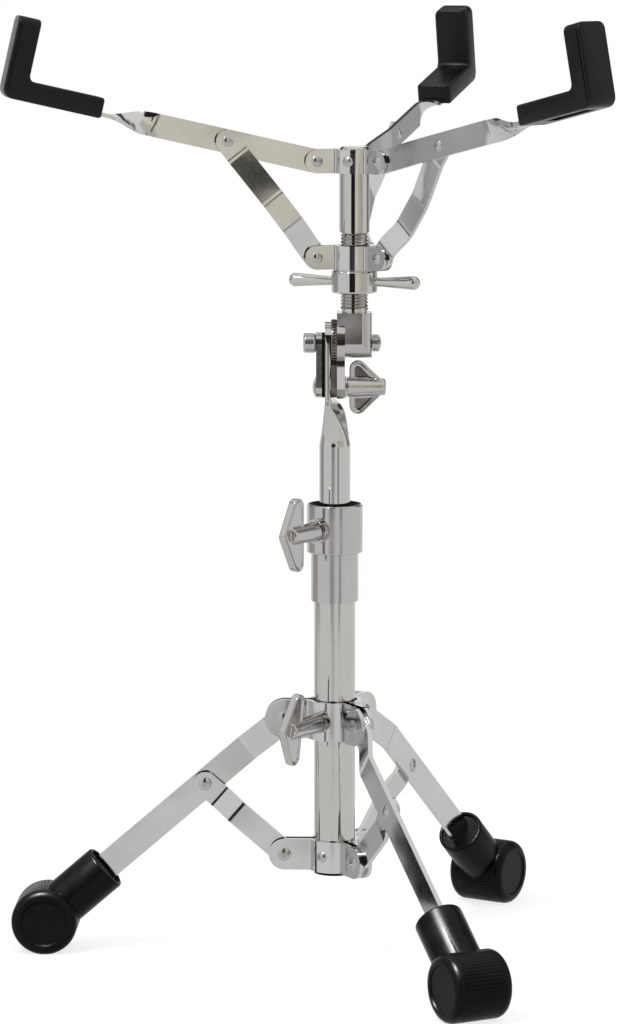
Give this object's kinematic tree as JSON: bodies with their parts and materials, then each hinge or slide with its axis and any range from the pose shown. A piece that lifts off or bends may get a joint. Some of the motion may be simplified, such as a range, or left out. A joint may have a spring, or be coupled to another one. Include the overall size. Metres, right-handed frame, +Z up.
{
  "type": "snare drum stand",
  "caption": "Folding snare drum stand: strap-steel tripod, telescopic mast, ratchet tilter and a folding basket with rubber claws that holds a drum.",
  "frame": {"origin": "on the floor under the axis of the base tube", "axes": "+Z up along the mast, +X to the right and +Y away from the viewer as seen in the picture"},
  "size_m": [0.3605, 0.3938, 0.5819],
  "materials": {
    "chrome_tube": "polished",
    "chrome_strap": "polished strap steel",
    "chrome_cast": "polished casting",
    "plated_fastener": "plated",
    "black_rubber": "satin",
    "black_nylon": "satin"
  },
  "bodies": {
    "base": {"base_tube": "chrome_tube", "base_plug": "black_nylon", "lower_collar_plates": "chrome_strap", "lower_collar_rivets": "plated_fastener", "lower_collar_screws": "plated_fastener", "height_clamp_body": "chrome_cast"},
    "leg_collar": {"leg_collar_plates": "chrome_strap", "leg_collar_liner": "black_nylon", "leg_collar_nut": "chrome_cast", "leg_collar_rivets": "plated_fastener"},
    "leg_clamp_screw": {"leg_clamp_screw": "chrome_cast"},
    "height_clamp_screw": {"height_clamp_screw": "chrome_cast"},
    "mast_bush": {"height_clamp_bush": "black_nylon"},
    "mast": {"mast_tube": "chrome_tube", "mast_guide": "black_nylon", "tilter_ratchet_disc": "chrome_cast", "tilter_strap": "chrome_strap", "tilter_spacer": "black_nylon", "tilter_pivot_bolt": "plated_fastener", "tilter_pivot_nut": "plated_fastener", "tilter_lock_bolt": "plated_fastener", "tilter_washer": "plated_fastener"},
    "tilter_wing_nut": {"tilter_wing_nut": "chrome_cast"},
    "basket_head": {"tilter_bracket": "chrome_cast", "basket_post": "chrome_tube", "upper_hub_plates": "chrome_strap", "upper_hub_ring": "chrome_cast", "upper_hub_screws": "plated_fastener", "upper_hub_rivets": "plated_fastener"},
    "lower_hub": {"lower_hub_plates": "chrome_strap", "lower_hub_ring": "chrome_cast", "lower_hub_rivets": "plated_fastener"},
    "thrust_washer": {"thrust_washer": "plated_fastener"},
    "adjuster_nut": {"adjuster_nut": "chrome_cast", "adjuster_handles": "chrome_cast"},
    "brace_left": {"brace_left": "chrome_strap"},
    "leg_left": {"leg_left": "chrome_strap", "foot_left": "black_rubber", "leg_brace_rivet_left": "plated_fastener"},
    "brace_front": {"brace_front": "chrome_strap"},
    "leg_front": {"leg_front": "chrome_strap", "foot_front": "black_rubber", "leg_brace_rivet_front": "plated_fastener"},
    "brace_back": {"brace_back": "chrome_strap"},
    "leg_back": {"leg_back": "chrome_strap", "foot_back": "black_rubber", "leg_brace_rivet_back": "plated_fastener"},
    "arm_left": {"arm_left": "chrome_strap", "claw_left": "black_rubber", "arm_strut_rivet_left": "plated_fastener"},
    "strut_left": {"strut_left": "chrome_strap"},
    "arm_right": {"arm_right": "chrome_strap", "claw_right": "black_rubber", "arm_strut_rivet_right": "plated_fastener"},
    "strut_right": {"strut_right": "chrome_strap"},
    "arm_back": {"arm_back": "chrome_strap", "claw_back": "black_rubber", "arm_strut_rivet_back": "plated_fastener"},
    "strut_back": {"strut_back": "chrome_strap"}
  },
  "joints": [
    {"name": "leg_fold", "type": "hinge", "parent": "base", "child": "brace_left", "pos_m": [-0.03098, 0.00108, 0.06371], "axis": [0.0349, 0.9994, 0], "range_deg": [-6, 45]},
    {"name": "leg_left_hinge", "type": "hinge", "parent": "brace_left", "child": "leg_left", "pos_m": [-0.08013, 0.01, 0.10638], "axis": [0.0349, 0.9994, 0], "range_deg": [-90, 12]},
    {"name": "brace_front_fold", "type": "hinge", "parent": "base", "child": "brace_front", "pos_m": [0.01455, -0.02737, 0.06371], "axis": [-0.8829, -0.4695, 0], "range_deg": [-6, 45]},
    {"name": "leg_front_hinge", "type": "hinge", "parent": "brace_front", "child": "leg_front", "pos_m": [0.0314, -0.0744, 0.10638], "axis": [-0.8829, -0.4695, 0], "range_deg": [-90, 12]},
    {"name": "brace_back_fold", "type": "hinge", "parent": "base", "child": "brace_back", "pos_m": [0.01643, 0.02629, 0.06371], "axis": [0.848, -0.5299, 0], "range_deg": [-6, 45]},
    {"name": "leg_back_hinge", "type": "hinge", "parent": "brace_back", "child": "leg_back", "pos_m": [0.04873, 0.06439, 0.10638], "axis": [0.848, -0.5299, 0], "range_deg": [-90, 12]},
    {"name": "leg_collar_hinge", "type": "hinge", "parent": "leg_left", "child": "leg_collar", "pos_m": [-0.03098, 0.00108, 0.14905], "axis": [0.0349, 0.9994, 0], "range_deg": [-6, 45]},
    {"name": "leg_clamp_turn", "type": "hinge", "parent": "leg_collar", "child": "leg_clamp_screw", "pos_m": [-0.02173, -0.03477, 0.14905], "axis": [-0.5299, -0.848, 0], "continuous": true},
    {"name": "height_clamp_turn", "type": "hinge", "parent": "base", "child": "height_clamp_screw", "pos_m": [-0.02057, -0.02832, 0.26796], "axis": [-0.5878, -0.809, 0], "continuous": true},
    {"name": "mast_swivel", "type": "hinge", "parent": "base", "child": "mast_bush", "pos_m": [0, 0, 0.28296], "axis": [0, 0, 1], "continuous": true},
    {"name": "mast_height", "type": "slide", "parent": "mast_bush", "child": "mast", "axis": [0, 0, 1], "range_m": [-0.035, 0.149]},
    {"name": "tilt", "type": "hinge", "parent": "mast", "child": "basket_head", "pos_m": [0, 0, 0.38196], "axis": [1, 0, 0], "range_deg": [-25, 25]},
    {"name": "tilter_wing_turn", "type": "hinge", "parent": "mast", "child": "tilter_wing_nut", "pos_m": [0, 0, 0.35496], "axis": [1, 0, 0], "continuous": true},
    {"name": "nut_travel", "type": "slide", "parent": "basket_head", "child": "thrust_washer", "axis": [0, 0, 1], "range_m": [-0.011, 0]},
    {"name": "nut_turn", "type": "hinge", "parent": "thrust_washer", "child": "adjuster_nut", "pos_m": [0.0118, 0, 0.41296], "axis": [0, 0, 1], "continuous": true},
    {"name": "basket_fold", "type": "hinge", "parent": "basket_head", "child": "arm_left", "pos_m": [-0.01152, -0.00475, 0.49321], "axis": [-0.1994, 0.9799, 0], "range_deg": [0, 63]},
    {"name": "strut_left_hinge", "type": "hinge", "parent": "arm_left", "child": "strut_left", "pos_m": [-0.06559, -0.01268, 0.50581], "axis": [-0.1994, 0.9799, 0], "range_deg": [-35, 0]},
    {"name": "arm_right_fold", "type": "hinge", "parent": "basket_head", "child": "arm_right", "pos_m": [0.02757, -0.01783, 0.49321], "axis": [-0.749, -0.6626, 0], "range_deg": [0, 63]},
    {"name": "strut_right_hinge", "type": "hinge", "parent": "arm_right", "child": "strut_right", "pos_m": [0.06148, -0.06068, 0.50581], "axis": [-0.749, -0.6626, 0], "range_deg": [-35, 0]},
    {"name": "arm_back_fold", "type": "hinge", "parent": "basket_head", "child": "arm_back", "pos_m": [0.01935, 0.02257, 0.49321], "axis": [0.9483, -0.3173, 0], "range_deg": [0, 63]},
    {"name": "strut_back_hinge", "type": "hinge", "parent": "arm_back", "child": "strut_back", "pos_m": [0.03951, 0.07336, 0.50581], "axis": [0.9483, -0.3173, 0], "range_deg": [-35, 0]},
    {"name": "lower_hub_slide", "type": "slide", "parent": "basket_head", "child": "lower_hub", "axis": [0, 0, 1], "range_m": [0, 0.025]}
  ],
  "couplings": [
    {"joint": "leg_left_hinge", "follows": "leg_fold", "ratio": -2},
    {"joint": "brace_front_fold", "follows": "leg_fold", "ratio": 1},
    {"joint": "leg_front_hinge", "follows": "leg_fold", "ratio": -2},
    {"joint": "brace_back_fold", "follows": "leg_fold", "ratio": 1},
    {"joint": "leg_back_hinge", "follows": "leg_fold", "ratio": -2},
    {"joint": "leg_collar_hinge", "follows": "leg_fold", "ratio": 1},
    {"joint": "nut_turn", "follows": "nut_travel", "rad_per_m": 3141.6},
    {"joint": "strut_left_hinge", "follows": "basket_fold", "ratio": -0.54269},
    {"joint": "arm_right_fold", "follows": "basket_fold", "ratio": 1},
    {"joint": "strut_right_hinge", "follows": "basket_fold", "ratio": -0.54269},
    {"joint": "arm_back_fold", "follows": "basket_fold", "ratio": 1},
    {"joint": "strut_back_hinge", "follows": "basket_fold", "ratio": -0.54269},
    {"joint": "lower_hub_slide", "follows": "basket_fold", "m_per_rad": 0.022049}
  ]
}
